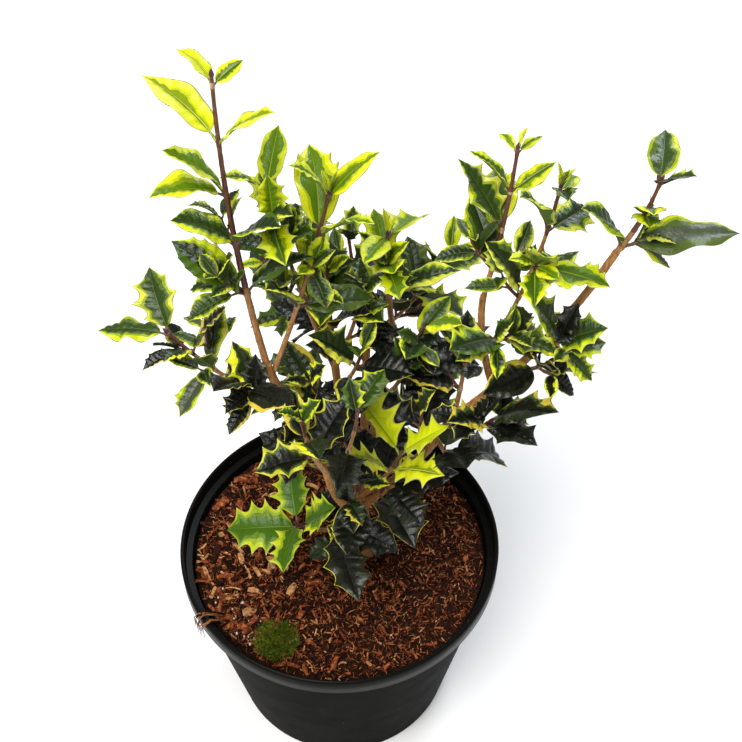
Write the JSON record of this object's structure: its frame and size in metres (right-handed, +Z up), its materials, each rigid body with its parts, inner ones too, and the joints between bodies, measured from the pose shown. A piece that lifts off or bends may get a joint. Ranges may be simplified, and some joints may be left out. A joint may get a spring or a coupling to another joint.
{
  "type": "potted holly olive shrub",
  "caption": "Young many-stemmed evergreen shrub with yellow-margined leaves, spiny below and smooth above, in a round nursery pot of bark compost.",
  "frame": {"origin": "centre of the pot's flat underside", "axes": "+Z up, +X to the right of a viewer in front, the plant's front looks towards -Y"},
  "size_m": [0.2997, 0.2087, 0.4687],
  "materials": {
    "pot": "satin black moulded plastic",
    "compost": "rough bark and coir chips",
    "moss": "soft green cushion",
    "bark": "thin brown bark",
    "foliage": "glossy leathery leaves with yellow margins"
  },
  "bodies": {
    "root": {"bough_back": "bark", "bough_centre": "bark", "bough_far_right": "bark", "bough_front": "bark", "bough_left": "bark", "bough_middle": "bark", "bough_right": "bark", "bough_upper_right": "bark", "compost": "compost", "foliage_back_left": "foliage", "foliage_back_low_left": "foliage", "foliage_back_low_right": "foliage", "foliage_back_middle": "foliage", "foliage_back_right": "foliage", "foliage_centre_side": "foliage", "foliage_centre_top": "foliage", "foliage_far_right_side": "foliage", "foliage_far_right_top": "foliage", "foliage_front_left": "foliage", "foliage_front_right": "foliage", "foliage_inner_centre": "foliage", "foliage_inner_left": "foliage", "foliage_inner_middle": "foliage", "foliage_inner_right": "foliage", "foliage_left_fork": "foliage", "foliage_left_leader": "foliage", "foliage_left_second": "foliage", "foliage_left_side": "foliage", "foliage_left_thin": "foliage", "foliage_lime": "foliage", "foliage_middle_side": "foliage", "foliage_middle_top": "foliage", "foliage_right_branch": "foliage", "foliage_right_front": "foliage", "foliage_right_hang": "foliage", "foliage_right_inner": "foliage", "foliage_right_middle": "foliage", "foliage_rosette": "foliage", "foliage_skirt_front": "foliage", "foliage_skirt_left": "foliage", "foliage_skirt_middle": "foliage", "foliage_skirt_right": "foliage", "foliage_upper_right_side": "foliage", "foliage_upper_right_top": "foliage", "moss_tuft": "moss", "pot": "pot", "trunk": "bark"}
  },
  "joints": []
}
